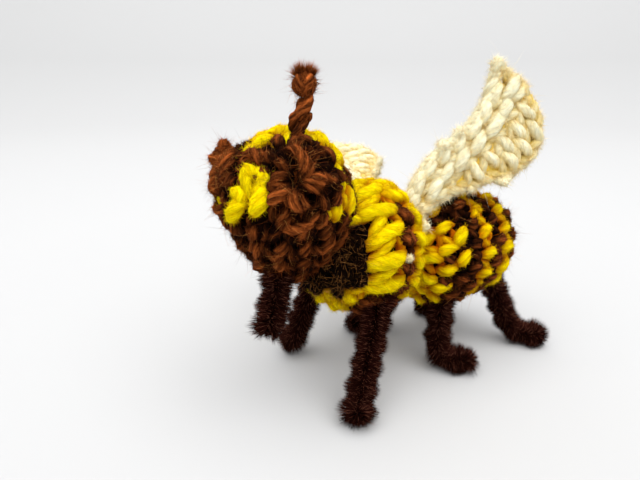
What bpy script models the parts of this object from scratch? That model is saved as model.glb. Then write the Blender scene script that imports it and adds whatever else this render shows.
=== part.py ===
"""A small crocheted bee: three stuffed balls, sewn-on eyes and wings, and chenille-stem legs.

Units are metres in Blender and millimetres in the constants below. The bee faces -Y, its left
side is +X, and +Z is up. The constants are written about a working origin on the floor, midway
between the two front feet; centre_on_floor() then moves the finished bee so that the world origin
is at the middle of the bottom of its bounding box.
"""
import math

import bmesh
import bpy
from mathutils import Matrix, Vector

MM = 0.001
GAP = 0.3                           # clearance between pieces that touch

STITCH_BUMP = 0.65                  # how far a stitch stands above the nominal surface
STEM_RADIUS = 3.3                   # chenille stem, out to the tips of its pile
SOLE_DEPTH = 0.5                    # how much of a foot is flattened against the floor

# Balls: centre, then half sizes sideways, lengthways and upright.
HEAD_CENTRE = Vector((-0.2, -5.9, 41.0))
HEAD_RADII = Vector((12.1, 12.1, 13.9))
HEAD_YAW = math.radians(34.5)       # the face looks towards the bee's left
HEAD_STITCHES, HEAD_ROUNDS = 16, 7
CHIN_TAPER = 0.32                   # 0 is a plain ellipsoid, 1 a cone running down to the chin

THORAX_CENTRE = Vector((0.0, 9.6, 30.4))
THORAX_RADII = Vector((11.4, 12.6, 13.1))
THORAX_STITCHES, THORAX_ROUNDS = 16, 6

ABDOMEN_CENTRE = Vector((0.0, 36.6, 26.6))
ABDOMEN_RADII = Vector((11.9, 16.7, 12.6))
ABDOMEN_STITCHES, ABDOMEN_ROUNDS = 16, 8
WAIST_TAPER = -0.35                 # negative: both balls stay thick where they meet at the waist

# Flat faces where neighbouring balls are sewn together: a point and the rearward normal.
NECK_POINT, NECK_NORMAL = Vector((0.0, 2.2, 36.0)), Vector((0.0, 1.0, -0.45)).normalized()
WAIST_POINT, WAIST_NORMAL = Vector((0.0, 20.8, 28.0)), Vector((0.0, 1.0, -0.1)).normalized()

EYE_RADIUS = 7.7
EYE_DOME = 6.0                      # from the roundel's widest section to the top of its dome
EYE_DEPTH = 8.7                     # distance of that section from the head's centre
EYE_SPREAD = math.radians(38.5)     # each eye's angle from the middle of the face
EYE_LIFT = math.radians(40.0)
EYE_PETALS = 12
EYE_SCALLOP = 0.4                   # how far each petal stands out from the rim

ANTENNA_RADIUS = 1.75
ANTENNA_LINKS = 3                   # chain stitches, each a swelling along the feeler
ANTENNA_LINK_SWELL = 0.2            # how much thicker a link is than the feeler's mean
ANTENNA_WIDENING = 0.25             # the feeler gets this much thicker towards its knotted tip
ANTENNA_CLOSE = 0.7                 # the end closes over to this part of the radius

WING_LENGTH = 42.5
WING_HALF_WIDTH = 8.8
WING_HALF_ROOT = 2.8
WING_WIDEST = 0.67                  # part of the length at which it reaches its full width
WING_HALF_THICKNESS = 2.2
WING_FRONT = 2.2                    # the front edge runs this far ahead of the root's line
WING_STITCHES = 10                  # stitches along each edge
WING_SCALLOP = 0.35                 # how far each stands out from the edge
WING_SWAY = 2.8                     # and bends forwards near the root and back near the tip
WING_BLUNTNESS = 0.5                # outline exponent: 1 rounds the ends like an ellipse, 0 squares them
WING_TIP_LEAN = 0.9                 # 0 leaves the tip in the middle, 1 puts it on the front edge
WING_RIM = 0.62                     # within this part of the ends the wing has its full thickness

# Legs: hip inside the body, ankle on the floor plan, toe heading from +X in degrees, foot length.
LEGS = {
    "leg_left_front": ((7.6, 10.6, 25.0), (13.6, 1.0), -35.0, 2.6),
    "leg_left_mid": ((5.0, 30.2, 24.0), (8.2, 26.6), 52.0, 8.6),
    "leg_left_hind": ((3.6, 45.2, 21.0), (9.2, 51.2), 48.0, 8.0),
    "leg_right_front": ((-8.6, 6.0, 25.0), (-14.6, 1.7), 235.0, 2.2),
    "leg_right_mid": ((-5.0, 31.0, 23.0), (-14.0, 26.0), 262.0, 7.8),
    "leg_right_hind": ((-4.0, 46.0, 21.0), (-12.6, 48.4), 264.0, 7.8),
}
ANKLE_BEND = 4.0                    # length of stem taken up by the bend on each side of it
FOOT_BEND_LIMIT = 0.8               # of the foot's length, where the foot is short
LEG_STEPS = 4                       # straight steps down the shin, and again round the bend
TOE_FLARE = 1.12                    # the cut end of a stem splays a little
TOE_CLOSE = 0.62                    # and then closes over

PROBOSCIS_PATH = ((2.6, -9.5, 31.0), (3.6, -11.0, 25.0), (5.2, -13.3, 20.0))

ANTENNA_PATHS = {
    "antenna_left": ((4.4, -6.4, 51.5), (4.8, -6.3, 56.0), (5.4, -5.4, 60.6), (4.9, -5.2, 64.4)),
    "antenna_right": ((-4.4, -8.6, 46.4), (-7.6, -12.2, 49.8), (-10.2, -14.2, 50.4),
                      (-12.6, -15.6, 48.6)),
}

# Wings: root inside the thorax, direction of the length, direction of the rear edge.
WINGS = {
    "wing_left": (Vector((4.0, 19.6, 31.8)), Vector((0.0, 0.53, 0.85)), Vector((0.42, 0.78, -0.47))),
    "wing_right": (Vector((0.0, 18.7, 37.8)), Vector((-0.98, -0.06, 0.17)), Vector((0.0, 1.0, 0.07))),
}

BROWN = (0.13, 0.045, 0.016)
YELLOW = (0.85, 0.55, 0.01)
CREAM = (0.82, 0.76, 0.52)
STEM_BROWN = (0.035, 0.012, 0.009)


def clear_scene():
    for obj in list(bpy.data.objects):
        bpy.data.objects.remove(obj, do_unlink=True)


def new_collection(name, is_cutter=False):
    collection = bpy.data.collections.new(name)
    bpy.context.scene.collection.children.link(collection)
    collection.hide_render = is_cutter
    return collection


def new_material(name, colour):
    material = bpy.data.materials.new(name)
    material.use_nodes = True
    shader = material.node_tree.nodes["Principled BSDF"]
    shader.inputs["Base Color"].default_value = (*colour, 1.0)
    shader.inputs["Roughness"].default_value = 0.9
    shader.inputs["Metallic"].default_value = 0.0
    return material


def add_object(name, mesh, material=None):
    """A visible piece with its material, or a cutter when no material is given."""
    obj = bpy.data.objects.new(name, mesh)
    if material is None:
        obj.hide_render = True
        obj.display_type = "WIRE"
        CUTTERS.objects.link(obj)
    else:
        mesh.materials.append(material)
        mesh.shade_smooth()
        PIECES.objects.link(obj)
    return obj


def mesh_from_bmesh(name, shape):
    bmesh.ops.recalc_face_normals(shape, faces=shape.faces)
    mesh = bpy.data.meshes.new(name)
    shape.to_mesh(mesh)
    shape.free()
    return mesh


def cut_flat(shape, point, outward):
    """Slice off what lies beyond a plane and close the cut."""
    geometry = shape.verts[:] + shape.edges[:] + shape.faces[:]
    cut = bmesh.ops.bisect_plane(shape, geom=geometry, plane_co=point, plane_no=outward,
                                 clear_outer=True)
    rim = [item for item in cut["geom_cut"] if isinstance(item, bmesh.types.BMEdge)]
    bmesh.ops.edgeloop_fill(shape, edges=rim)


def stitched_ball(name, centre, radii, stitches, rounds, pole, taper, yaw=0.0, grow=0.0, cuts=()):
    """A stuffed crochet ball: rounds circle the pole axis, and taper thins the half beyond -pole."""
    shape = bmesh.new()
    bmesh.ops.create_uvsphere(shape, u_segments=2 * stitches, v_segments=2 * rounds, radius=1.0)
    turn = Vector((0.0, 0.0, 1.0)).rotation_difference(pole).to_matrix()
    spin = Matrix.Rotation(yaw, 3, "Z")
    for vert in shape.verts:
        height = max(-1.0, min(1.0, vert.co.z))
        around = math.atan2(vert.co.y, vert.co.x)
        ring = math.acos(height)
        width = math.sin(ring)
        if height < 0.0:
            width += taper * ((1.0 + height) - width)
        fold = math.cos(2 * rounds * ring) + math.cos(stitches * around)
        bump = 0.5 * STITCH_BUMP * fold * math.sin(ring)
        unit = Vector((width * math.cos(around), width * math.sin(around), height))
        local = turn @ unit
        size = Vector([radius + bump + grow for radius in radii])
        vert.co = MM * (centre + spin @ Vector([a * b for a, b in zip(local, size)]))
    for point, outward in cuts:
        cut_flat(shape, MM * point, outward)
    return mesh_from_bmesh(name, shape)


def face_direction(side):
    """Unit vector from the head's centre to an eye; side is +1 for the bee's left."""
    heading = HEAD_YAW + side * EYE_SPREAD
    flat = Vector((math.sin(heading), -math.cos(heading), 0.0))
    return flat * math.cos(EYE_LIFT) + Vector((0.0, 0.0, math.sin(EYE_LIFT)))


def eye_mesh(name, side, grow=0.0):
    """A domed roundel with a petal for each stitch of its outer round."""
    shape = bmesh.new()
    bmesh.ops.create_uvsphere(shape, u_segments=2 * EYE_PETALS, v_segments=12, radius=1.0)
    outward = face_direction(side)
    turn = Vector((0.0, 0.0, 1.0)).rotation_difference(outward).to_matrix()
    middle = HEAD_CENTRE + EYE_DEPTH * outward
    for vert in shape.verts:
        around = math.atan2(vert.co.y, vert.co.x)
        reach = math.hypot(vert.co.x, vert.co.y)
        radius = EYE_RADIUS + grow + EYE_SCALLOP * reach * math.cos(EYE_PETALS * around)
        dome = EYE_DOME + grow
        local = Vector((vert.co.x * radius, vert.co.y * radius, vert.co.z * dome))
        vert.co = MM * (middle + turn @ local)
    return mesh_from_bmesh(name, shape)


def smooth_path(points, steps):
    """Points along a Catmull-Rom curve through the given ones, with the ends included."""
    knots = [Vector(point) for point in points]
    knots = [2 * knots[0] - knots[1]] + knots + [2 * knots[-1] - knots[-2]]
    path = []
    for a, b, c, d in zip(knots, knots[1:], knots[2:], knots[3:]):
        for step in range(steps):
            t = step / steps
            path.append(0.5 * (2 * b + (c - a) * t + (2 * a - 5 * b + 4 * c - d) * t ** 2
                               + (3 * b - a - 3 * c + d) * t ** 3))
    return path + [knots[-2]]


def leg_path(hip, ankle, heading, foot):
    """Straight down from the hip, round the ankle's bend and out along the floor to the toe."""
    floor_height = STEM_RADIUS - SOLE_DEPTH
    hip = Vector(hip)
    corner = Vector((*ankle, floor_height))
    aim = Vector((math.cos(math.radians(heading)), math.sin(math.radians(heading)), 0.0))
    shin = (hip - corner).normalized()
    start = corner + ANKLE_BEND * shin
    end = corner + min(ANKLE_BEND, FOOT_BEND_LIMIT * foot) * aim
    path = [hip.lerp(start, step / LEG_STEPS) for step in range(LEG_STEPS)]
    for step in range(LEG_STEPS + 1):
        t = step / LEG_STEPS
        path.append(start * (1 - t) ** 2 + corner * 2 * t * (1 - t) + end * t ** 2)
    return path + [corner + foot * aim, corner + (foot + 0.5 * STEM_RADIUS) * aim]


def tube_mesh(name, path, radius, scales, sides_level=4, grow=0.0, floor=None):
    """A closed tube along a path; a floor height flattens what would reach below it."""
    curve = bpy.data.curves.new(name, "CURVE")
    curve.dimensions = "3D"
    curve.bevel_depth = MM
    curve.bevel_resolution = sides_level
    curve.use_fill_caps = True
    spline = curve.splines.new("POLY")
    spline.points.add(len(path) - 1)
    for knot, place, scale in zip(spline.points, path, scales):
        knot.co = (*(MM * place), 1.0)
        knot.radius = radius * scale + grow
    carrier = bpy.data.objects.new(name + "_curve", curve)
    bpy.context.scene.collection.objects.link(carrier)
    evaluated = carrier.evaluated_get(bpy.context.evaluated_depsgraph_get())
    mesh = bpy.data.meshes.new_from_object(evaluated)
    bpy.data.objects.remove(carrier, do_unlink=True)
    bpy.data.curves.remove(curve)
    shape = bmesh.new()
    shape.from_mesh(mesh)
    bpy.data.meshes.remove(mesh)
    bmesh.ops.remove_doubles(shape, verts=shape.verts, dist=0.01 * MM)
    if floor is not None:
        for vert in shape.verts:
            vert.co.z = max(vert.co.z, floor * MM)
    return mesh_from_bmesh(name, shape)


def stem_mesh(name, path, grow=0.0, floor=None):
    """A chenille stem whose last stretch flares and then closes over."""
    scales = [1.0] * (len(path) - 2) + [TOE_FLARE, TOE_CLOSE]
    return tube_mesh(name, path, STEM_RADIUS, scales, grow=grow, floor=floor)


def antenna_mesh(name, points, grow=0.0):
    """A crochet chain: one swelling for each link, and a fuller knot at the tip."""
    path = smooth_path(points, 4)
    last = len(path) - 1
    scales = []
    for index in range(len(path)):
        along = index / last
        link = 1.0 - ANTENNA_LINK_SWELL * math.cos(2 * math.pi * ANTENNA_LINKS * along)
        scales.append(link + ANTENNA_WIDENING * along)
    scales[-1] = ANTENNA_CLOSE
    return tube_mesh(name, path, ANTENNA_RADIUS, scales, sides_level=2, grow=grow)


def wing_mesh(name, root, along, rearward, grow=0.0):
    """A leaf with a narrow root and a full end that comes to a point near its front edge."""
    shape = bmesh.new()
    bmesh.ops.create_uvsphere(shape, u_segments=20, v_segments=2 * WING_STITCHES, radius=1.0)
    along = along.normalized()
    rearward = (rearward - rearward.dot(along) * along).normalized()
    normal = along.cross(rearward)
    for vert in shape.verts:
        height = max(-1.0, min(1.0, vert.co.z))
        part = 0.5 * (1.0 + height)
        rim = math.hypot(vert.co.x, vert.co.y)
        around = math.atan2(vert.co.y, vert.co.x)
        swell = math.sin(0.5 * math.pi * min(1.0, part / WING_WIDEST)) ** 2
        full = WING_HALF_ROOT + (WING_HALF_WIDTH - WING_HALF_ROOT) * swell
        stitch = WING_SCALLOP * math.cos(2 * WING_STITCHES * math.acos(height))
        half = full * rim ** WING_BLUNTNESS + stitch * rim
        middle = full + WING_TIP_LEAN * (half - full) - WING_FRONT
        middle -= WING_SWAY * math.sin(2 * math.pi * part)
        across = middle + (half + grow) * math.cos(around)
        thick = WING_HALF_THICKNESS * min(1.0, rim / WING_RIM)
        depth = (thick + grow) * math.sin(around)
        vert.co = MM * (root + part * WING_LENGTH * along + across * rearward + depth * normal)
    return mesh_from_bmesh(name, shape)


def cut_with(target, cutter, solver="EXACT"):
    modifier = target.modifiers.new(cutter.name, "BOOLEAN")
    modifier.operation = "DIFFERENCE"
    modifier.solver = solver
    modifier.object = cutter


def head_mesh(name, grow=0.0, cuts=()):
    return stitched_ball(name, HEAD_CENTRE, HEAD_RADII, HEAD_STITCHES, HEAD_ROUNDS,
                         Vector((0.0, 0.0, 1.0)), CHIN_TAPER, HEAD_YAW, grow, cuts)


def build_bodies(brown, yellow):
    half_gap = 0.5 * GAP
    head = add_object("head", head_mesh("head", cuts=[
        (NECK_POINT - half_gap * NECK_NORMAL, NECK_NORMAL)]), brown)
    thorax = add_object("thorax", stitched_ball(
        "thorax", THORAX_CENTRE, THORAX_RADII, THORAX_STITCHES, THORAX_ROUNDS,
        Vector((0.0, -1.0, 0.0)), WAIST_TAPER, cuts=[
            (NECK_POINT + half_gap * NECK_NORMAL, -NECK_NORMAL),
            (WAIST_POINT - half_gap * WAIST_NORMAL, WAIST_NORMAL)]), yellow)
    abdomen = add_object("abdomen", stitched_ball(
        "abdomen", ABDOMEN_CENTRE, ABDOMEN_RADII, ABDOMEN_STITCHES, ABDOMEN_ROUNDS,
        Vector((0.0, 1.0, 0.0)), WAIST_TAPER, cuts=[
            (WAIST_POINT + half_gap * WAIST_NORMAL, -WAIST_NORMAL)]), yellow)
    return head, thorax, abdomen


def build_eyes(antenna_sockets, brown):
    """Roundels laid on the head; where their rims meet, the right one gives way."""
    seat = add_object("cut_head", head_mesh("cut_head", grow=GAP))
    eyes = {}
    for side_name, side in (("left", 1), ("right", -1)):
        name = "eye_" + side_name
        eyes[side_name] = add_object(name, eye_mesh(name, side), brown)
        for cutter in (seat, antenna_sockets["antenna_" + side_name]):
            cut_with(eyes[side_name], cutter, "MANIFOLD")
    neighbour = add_object("cut_eye_left", eye_mesh("cut_eye_left", 1, grow=GAP))
    cut_with(eyes["right"], neighbour, "MANIFOLD")


def build_antennae(brown):
    """The two feelers, and the sockets that each leaves in the head and in its own eye's rim."""
    sockets = {}
    for name, points in ANTENNA_PATHS.items():
        add_object(name, antenna_mesh(name, points), brown)
        sockets[name] = add_object("cut_" + name, antenna_mesh("cut_" + name, points, grow=GAP))
    return sockets


def build_wings(thorax, abdomen, cream):
    for name, (root, along, rearward) in WINGS.items():
        add_object(name, wing_mesh(name, root, along, rearward), cream)
        cutter_name = "cut_" + name
        cutter = add_object(cutter_name,
                            wing_mesh(cutter_name, root - GAP * along, along, rearward, GAP))
        for body in (thorax, abdomen):
            cut_with(body, cutter)


def build_legs(thorax, abdomen, dark):
    for name, (hip, ankle, heading, foot) in LEGS.items():
        path = leg_path(hip, ankle, heading, foot)
        add_object(name, stem_mesh(name, path, floor=0.0), dark)
        socket = [path[0] + GAP * (path[0] - path[1]).normalized()] + path[1:]
        cutter = add_object("cut_" + name, stem_mesh("cut_" + name, socket, grow=GAP))
        cut_with(thorax if name.endswith("front") else abdomen, cutter)


def build_proboscis(head, dark):
    path = smooth_path(PROBOSCIS_PATH, 3)
    add_object("proboscis", stem_mesh("proboscis", path), dark)
    socket = [path[0] + GAP * (path[0] - path[1]).normalized()] + path[1:]
    cut_with(head, add_object("cut_proboscis", stem_mesh("cut_proboscis", socket, grow=GAP)))


def centre_on_floor():
    """Move every piece and cutter so that the origin is under the middle of the bounding box."""
    depsgraph = bpy.context.evaluated_depsgraph_get()
    depsgraph.update()
    corners = []
    for obj in PIECES.objects:
        corners += [Vector(corner) for corner in obj.evaluated_get(depsgraph).bound_box]
    middle = [0.5 * (min(c[axis] for c in corners) + max(c[axis] for c in corners))
              for axis in (0, 1)]
    shift = Matrix.Translation((-middle[0], -middle[1], 0.0))
    for obj in list(PIECES.objects) + list(CUTTERS.objects):
        obj.data.transform(shift)


def build_bee():
    brown = new_material("yarn_brown", BROWN)
    yellow = new_material("yarn_yellow", YELLOW)
    cream = new_material("yarn_cream", CREAM)
    dark = new_material("chenille_brown", STEM_BROWN)
    head, thorax, abdomen = build_bodies(brown, yellow)
    sockets = build_antennae(brown)
    for socket in sockets.values():
        cut_with(head, socket)
    build_eyes(sockets, brown)
    build_wings(thorax, abdomen, cream)
    build_legs(thorax, abdomen, dark)
    build_proboscis(head, dark)
    centre_on_floor()


clear_scene()
PIECES = new_collection("crocheted_bee")
CUTTERS = new_collection("cutters", is_cutter=True)
build_bee()
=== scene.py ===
"""Looks of the crocheted toy bee: stitches of plied yarn with their fuzz, and stems with a pile.

Lengths are in millimetres about the CAD's working origin, on the floor midway between the two front
feet, and become metres in the frame when a piece is made. The bee faces -Y, its left side is +X, and
+Z is up. A ball's surface is addressed by its ring angle from the pole, its angle around the pole and
a height above the nominal surface.
"""

import math

import bpy
import numpy as np
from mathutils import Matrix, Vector


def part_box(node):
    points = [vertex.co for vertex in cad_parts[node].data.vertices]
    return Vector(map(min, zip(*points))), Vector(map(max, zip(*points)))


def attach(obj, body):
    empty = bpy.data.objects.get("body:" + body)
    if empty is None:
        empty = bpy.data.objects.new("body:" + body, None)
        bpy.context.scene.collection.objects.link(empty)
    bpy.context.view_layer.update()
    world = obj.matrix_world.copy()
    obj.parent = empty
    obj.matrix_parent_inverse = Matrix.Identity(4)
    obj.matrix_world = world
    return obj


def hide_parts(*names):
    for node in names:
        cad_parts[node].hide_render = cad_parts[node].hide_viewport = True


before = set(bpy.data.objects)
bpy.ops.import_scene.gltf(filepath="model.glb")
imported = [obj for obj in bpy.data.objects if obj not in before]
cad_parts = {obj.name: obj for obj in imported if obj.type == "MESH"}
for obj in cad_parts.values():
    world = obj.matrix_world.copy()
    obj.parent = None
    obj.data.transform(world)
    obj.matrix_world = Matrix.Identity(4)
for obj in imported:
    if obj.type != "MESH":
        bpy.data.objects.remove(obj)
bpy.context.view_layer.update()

MM = 0.001
RNG = np.random.default_rng(11)

# ---------------- sizes shared with the CAD
HEAD_CENTRE = np.array([-0.2, -5.9, 41.0])
HEAD_RADII = np.array([12.1, 12.1, 13.9])
HEAD_YAW = math.radians(34.5)
CHIN_TAPER = 0.32

THORAX_CENTRE = np.array([0.0, 9.6, 30.4])
THORAX_RADII = np.array([11.4, 12.6, 13.1])

ABDOMEN_CENTRE = np.array([0.0, 36.6, 26.6])
ABDOMEN_RADII = np.array([11.9, 16.7, 12.6])
WAIST_TAPER = -0.35

# The planes where the balls meet: a point and the normal, which faces rearwards.
NECK = np.array([0.0, 2.2, 36.0]), np.array([0.0, 0.912, -0.410])
WAIST = np.array([0.0, 20.8, 28.0]), np.array([0.0, 0.995, -0.0995])

ANTENNA_PATHS = {  # from the root to the tip
    "left": ((4.4, -6.4, 51.5), (4.8, -6.3, 56.0), (5.4, -5.4, 60.6), (4.9, -5.2, 64.4)),
    "right": ((-4.4, -8.6, 46.4), (-7.6, -12.2, 49.8), (-10.2, -14.2, 50.4), (-12.6, -15.6, 48.6)),
}

WING_LENGTH = 41.6  # less than the CAD's, as the yarn stands out past the tip
WING_HALF_WIDTH = 8.8
WING_HALF_ROOT = 2.8
WING_WIDEST = 0.67  # of the length
WING_FRONT = 2.2  # how far in front of the root's line its middle is
WING_SWAY = 2.8  # how far the middle bends forwards and back
WING_BLUNTNESS = 0.5  # an ellipse's ends at 1, and blunter below
WING_TIP_LEAN = 0.9  # how much of the tip's narrowing is in front
WINGS = {  # the root, the way to the tip and the way rearwards
    "wing_left": ((4.0, 19.6, 31.8), (0.0, 0.53, 0.85), (0.42, 0.78, -0.47)),
    "wing_right": ((0.0, 18.7, 37.8), (-0.98, -0.06, 0.17), (0.0, 1.0, 0.07)),
}

STEM_RADIUS = 3.3
SOLE_DEPTH = 0.5
ANKLE_BEND = 4.0
FOOT_BEND_LIMIT = 0.8
LEGS = {  # hip, ankle, heading of the foot in degrees and its length
    "leg_left_front": ((7.6, 10.6, 25.0), (13.6, 1.0), -35.0, 2.6),
    "leg_left_mid": ((5.0, 30.2, 24.0), (8.2, 26.6), 52.0, 8.6),
    "leg_left_hind": ((3.6, 45.2, 21.0), (9.2, 51.2), 48.0, 8.0),
    "leg_right_front": ((-8.6, 6.0, 25.0), (-14.6, 1.7), 235.0, 2.2),
    "leg_right_mid": ((-5.0, 31.0, 23.0), (-14.0, 26.0), 262.0, 7.8),
    "leg_right_hind": ((-4.0, 46.0, 21.0), (-12.6, 48.4), 264.0, 7.8),
}
PROBOSCIS_PATH = ((2.6, -9.5, 31.0), (3.6, -11.0, 25.0), (5.2, -13.3, 20.0))

# ---------------- yarn
STRAND_RADIUS = 1.18  # worsted yarn, pulled tight in a stitch
PLIES = 4
PLY_TWIST = 0.6  # radians per millimetre
STRAND_TOP = -0.45  # height of a strand's centre at the top of its arch

# Each yarn's colour, and the colour of its painted shade deep between the stitches and in the grooves
# between its plies.
BROWN, BROWN_PAINTED_SHADE = (0.37, 0.089, 0.017), (0.005, 0.001, 0.0002)
YELLOW, YELLOW_PAINTED_SHADE = (1.0, 0.79, 0.0), (0.46, 0.10, 0.0)
CREAM, CREAM_PAINTED_SHADE = (0.98, 0.95, 0.69), (0.82, 0.57, 0.08)
# A near-black brown that paints the head's shadow on the front of the thorax, with its own painted shade
# between the stitches.
PAINTED_SHADOW_BROWN, PAINTED_SHADOW_BROWN_SHADE = (0.007, 0.002, 0.0005), (0.002, 0.0006, 0.0001)
YARNS = np.array([BROWN, YELLOW, CREAM, PAINTED_SHADOW_BROWN])
YARNS_PAINTED_SHADE = np.array([BROWN_PAINTED_SHADE, YELLOW_PAINTED_SHADE, CREAM_PAINTED_SHADE, PAINTED_SHADOW_BROWN_SHADE])
YARN_STREAKS = np.array([1.25, 0.3, 0.12, 1.8])  # how strong its streaks are
YARN_GROOVES = np.array([0.24, 0.16, 0.12, 0.2])  # depth between plies, of the radius
YARN_SHADES = np.array([0.6, 0.3, 0.25, 0.6])  # how much darker painted shade makes the grooves
YARN_SPREAD = np.array([0.35, 0.10, 0.05, 0.3])  # how much strands differ in brightness
YARN_ROUGHNESS = np.array([0.09, 0.03, 0.02, 0.06])  # how uneven a strand is, of the radius
BROWN_YARN, YELLOW_YARN, CREAM_YARN, PAINTED_SHADOW_YARN = range(4)
MIXED_YARN = 4  # a stitch made where one yarn takes over from another


def frame_shift():
    """Where the working origin is in the frame. The abdomen is on the midline and its end is known."""
    low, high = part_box("abdomen")
    return np.array([0.5 * (low.x + high.x) / MM,
                     high.y / MM - ABDOMEN_CENTRE[1] - ABDOMEN_RADII[1], 0.0])


SHIFT = frame_shift()


def unit(vectors):
    return vectors / np.maximum(np.linalg.norm(vectors, axis=-1, keepdims=True), 1e-9)


def stations(line):
    """How far along a line each of its points is."""
    steps = np.linalg.norm(np.diff(line, axis=-2), axis=-1)
    return np.concatenate([np.zeros(steps.shape[:-1] + (1,)), np.cumsum(steps, -1)], -1)


def sample(places, along, values):
    """Rows of values, which are known at stations along a line, at other places on it."""
    return np.stack([np.interp(places, along, column) for column in values.T], -1)


def add_object(name, data):
    obj = bpy.data.objects.new(name, data)
    bpy.context.scene.collection.objects.link(obj)
    return obj


def full_turn(count):
    """Evenly spaced angles all the way round."""
    return 2 * np.pi * np.arange(count) / count


def turned(first, second, angle):
    """The directions at angles from one direction towards another, square to it."""
    return first * np.cos(angle)[..., None] + second * np.sin(angle)[..., None]


def turn_from_z(direction):
    """The rotation that takes +Z to a direction, as the CAD makes it."""
    quaternion = Vector((0.0, 0.0, 1.0)).rotation_difference(Vector(direction))
    return np.array(quaternion.to_matrix())


def rotation_about_z(angle):
    cosine, sine = math.cos(angle), math.sin(angle)
    return np.array([[cosine, -sine, 0.0], [sine, cosine, 0.0], [0.0, 0.0, 1.0]])


POLE_GAP = 0.03  # radians at a ball's poles that places keep out of
LEAST_TURN = 1.5  # mm that a radian around counts for, at least


class Ball:
    """The nominal surface of a stuffed ball or a domed roundel."""

    def __init__(self, centre, radii, before=np.eye(3), after=np.eye(3), taper=0.0):
        self.centre, self.radii = np.asarray(centre, float), np.asarray(radii, float)
        self.before, self.after, self.taper = before, after, taper

    def at(self, ring, around, height):
        """The point at a ring angle, an angle around the pole and a height above the surface."""
        ring = np.clip(ring, POLE_GAP, np.pi - POLE_GAP)
        width = np.sin(ring) * self.widening(ring)
        local = np.stack([width * np.cos(around), width * np.sin(around), np.cos(ring)], -1)
        size = self.radii + np.asarray(height)[..., None]
        return self.centre + (local @ self.before.T * size) @ self.after.T

    def widening(self, ring):
        """How much wider than a sphere the far half is, as its taper makes it."""
        ring = np.clip(ring, POLE_GAP, np.pi - POLE_GAP)
        level = np.minimum(np.cos(ring), 0.0)
        return np.where(level < 0.0, 1.0 + self.taper * ((1.0 + level) / np.sin(ring) - 1.0), 1.0)

    def up(self, ring, around):
        return unit(self.at(ring, around, np.ones_like(ring)) - self.at(ring, around, np.zeros_like(ring)))

    def metric(self, ring, around):
        """Millimetres on the surface for a radian of ring and for a radian around."""
        step, level = 0.02, np.zeros_like(ring)
        per_ring, per_around = (
            np.linalg.norm(self.at(*moved, level) - self.at(ring, around, level), axis=-1) / step
            for moved in ((ring + step, around), (ring, around + step)))
        return per_ring, np.maximum(per_around, LEAST_TURN)

    def height(self, points):
        """Roughly how far points lie above the nominal surface."""
        ring, _, reach = self.place(points)
        return (reach - 1.0) * np.linalg.norm(points - self.centre, axis=-1) / np.maximum(reach, 1e-6)

    def place(self, points):
        """Each point's ring and around angles and its reach, which is 1 on the nominal surface."""
        local = (((points - self.centre) @ self.after) / self.radii) @ self.before
        across, level = np.hypot(local[..., 0], local[..., 1]), local[..., 2]
        ring = np.arctan2(across, level)
        for _ in range(3):
            narrowed = across / self.widening(ring)
            ring = np.arctan2(narrowed, level)
        return ring, np.arctan2(local[..., 1], local[..., 0]), np.hypot(narrowed, level)

    def unwrap(self, points):
        """Each point's ring and around angles as a place on a unit square."""
        ring, around, _ = self.place(points)
        return np.stack([0.5 + around / (2 * np.pi), ring / np.pi], -1)


HEAD = Ball(HEAD_CENTRE, HEAD_RADII, after=rotation_about_z(HEAD_YAW), taper=CHIN_TAPER)
THORAX = Ball(THORAX_CENTRE, THORAX_RADII, before=turn_from_z((0.0, -1.0, 0.0)), taper=WAIST_TAPER)
ABDOMEN = Ball(ABDOMEN_CENTRE, ABDOMEN_RADII, before=turn_from_z((0.0, 1.0, 0.0)), taper=WAIST_TAPER)


def heading_vector(heading, lift):
    """The direction at a heading from straight ahead towards the bee's left, and a lift, in degrees."""
    heading, lift = math.radians(heading), math.radians(lift)
    return np.array([math.sin(heading) * math.cos(lift), -math.cos(heading) * math.cos(lift),
                     math.sin(lift)])


# Each eye: where it sits on the head, how far out, where its rosette looks, and its half sizes.
EYES = {
    "left": Ball(HEAD_CENTRE + 8.7 * heading_vector(73.0, 40.0), (7.8, 7.8, 6.0),
                 after=turn_from_z(heading_vector(62.0, 16.0))),
    "right": Ball(HEAD_CENTRE + 10.2 * heading_vector(-10.0, 34.0), (6.6, 6.6, 3.6),
                  after=turn_from_z(heading_vector(-12.0, 22.0))),
}


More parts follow.
